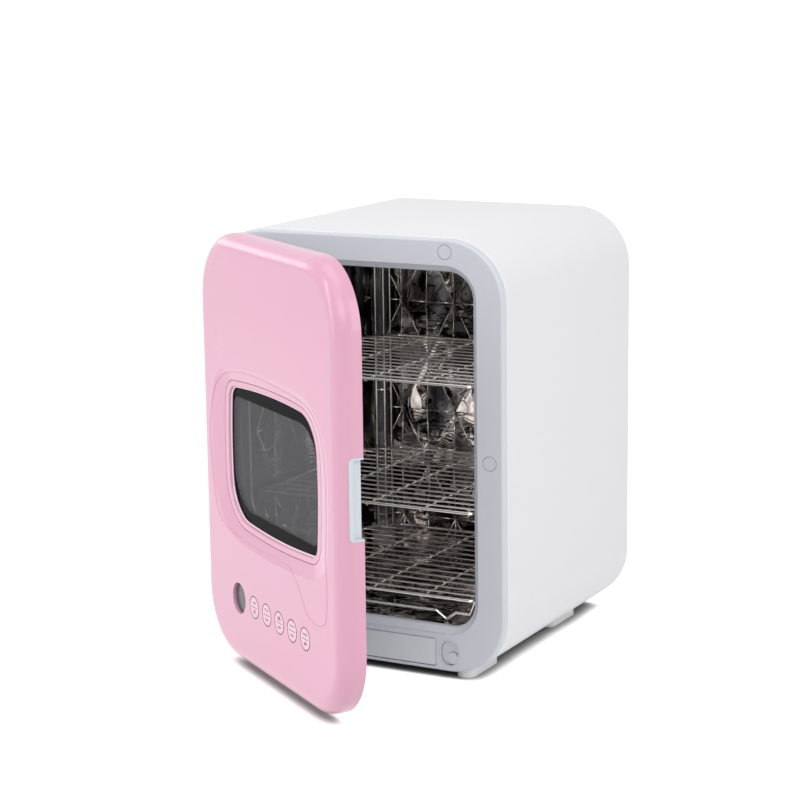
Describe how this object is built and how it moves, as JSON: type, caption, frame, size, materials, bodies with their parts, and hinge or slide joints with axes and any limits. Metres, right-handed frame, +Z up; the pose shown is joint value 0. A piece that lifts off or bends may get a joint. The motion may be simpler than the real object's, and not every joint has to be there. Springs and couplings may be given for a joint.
{
  "type": "baby bottle sterilizer",
  "caption": "Rounded countertop cabinet that sterilizes and dries baby bottles, with a side-hinged window door, bright wire racks, corner lamps, a warm-air fan and a drip tray.",
  "frame": {"origin": "middle of the base plate's underside, which is level with the case's underside; the feet reach 6 mm lower", "axes": "+X right, +Y back, +Z up as seen from the front; at rest the door stands open 35.1 degrees"},
  "size_m": [0.305, 0.4754, 0.4067],
  "materials": {
    "case_white": "smooth gloss white",
    "frame_grey": "satin cool grey",
    "base_grey": "plain moulded grey",
    "rubber_white": "soft off-white",
    "bright_sheet": "bright pressed stainless sheet",
    "rack_chrome": "bright wire",
    "plain_steel": "plain plated steel",
    "lamp_glass": "clear quartz tube",
    "cap_aluminium": "plain",
    "socket_white": "plain white",
    "board_green": "solder mask",
    "dark_plastic": "plain black",
    "bearing_bronze": "sintered bronze",
    "filter_foam": "open foam",
    "tray_clear_grey": "smooth grey",
    "door_pink": "smooth gloss pink",
    "lining_white": "smooth white",
    "gasket_grey": "soft grey",
    "window_dark": "smoked glass with a printed black border",
    "pane_clear": "clear",
    "grip_grey": "satin pale grey",
    "lens_dark": "dark gloss"
  },
  "bodies": {
    "cabinet": {"outer_case": "case_white", "front_frame": "frame_grey", "magnet_caps": "frame_grey", "switch_housing": "frame_grey", "base_plate": "base_grey", "rear_cover": "base_grey", "fan_housing": "base_grey", "air_duct": "base_grey", "tray_runners": "base_grey", "feet": "rubber_white", "back_reflector": "bright_sheet", "liner_left": "bright_sheet", "liner_right": "bright_sheet", "liner_ceiling": "bright_sheet", "liner_floor": "bright_sheet", "lamp_guards": "rack_chrome", "rack_rails": "plain_steel", "tie_rods": "plain_steel", "cover_screws": "plain_steel", "frame_magnets": "plain_steel", "switch_spring": "plain_steel", "hinge_lug_lower": "plain_steel", "hinge_lug_upper": "plain_steel", "lamp_ballast": "plain_steel", "lamp_tubes": "lamp_glass", "lamp_end_caps": "cap_aluminium", "ptc_heater": "cap_aluminium", "lamp_sockets": "socket_white", "hinge_bushes": "socket_white", "power_board": "board_green", "mains_inlet": "dark_plastic", "fan_motor": "dark_plastic", "thermal_cutout": "dark_plastic", "door_switch": "dark_plastic", "fan_bearing": "bearing_bronze", "air_filter": "filter_foam"},
    "door": {"door_shell": "door_pink", "door_inner_panel": "lining_white", "switch_post": "lining_white", "door_gasket": "gasket_grey", "window_glass": "window_dark", "window_retainer": "dark_plastic", "window_inner_pane": "pane_clear", "handle_insert": "grip_grey", "display_lens": "lens_dark", "control_board": "board_green", "touch_springs": "plain_steel", "panel_screws": "plain_steel", "door_magnets": "plain_steel", "hinge_blocks": "socket_white", "hinge_pins": "plain_steel"},
    "tray": {"drip_tray": "tray_clear_grey", "tray_front": "frame_grey"},
    "upper_rack": {"rack_upper": "rack_chrome"},
    "middle_rack": {"rack_middle": "rack_chrome"},
    "lower_rack": {"rack_lower": "rack_chrome"},
    "fan": {"fan_rotor": "base_grey", "fan_shaft": "plain_steel"},
    "plunger": {"switch_plunger": "frame_grey"}
  },
  "joints": [
    {"name": "door_hinge", "type": "hinge", "parent": "cabinet", "child": "door", "pos_m": [-0.142, -0.161, 0.2], "axis": [0, 0, -1], "range_deg": [-35.1, 74.9]},
    {"name": "tray_slide", "type": "slide", "parent": "cabinet", "child": "tray", "axis": [0, -1, 0], "range_m": [0, 0.038]},
    {"name": "upper_rack_slide", "type": "slide", "parent": "cabinet", "child": "upper_rack", "axis": [0, -1, 0], "range_m": [0, 0.03]},
    {"name": "middle_rack_slide", "type": "slide", "parent": "cabinet", "child": "middle_rack", "axis": [0, -1, 0], "range_m": [0, 0.03]},
    {"name": "lower_rack_slide", "type": "slide", "parent": "cabinet", "child": "lower_rack", "axis": [0, -1, 0], "range_m": [0, 0.03]},
    {"name": "fan_spin", "type": "hinge", "parent": "cabinet", "child": "fan", "pos_m": [0, 0.062, 0.016], "axis": [0, 0, 1], "continuous": true},
    {"name": "switch_press", "type": "slide", "parent": "cabinet", "child": "plunger", "axis": [0, 1, 0], "range_m": [0, 0.0025], "stiffness_N_per_m": 300}
  ]
}
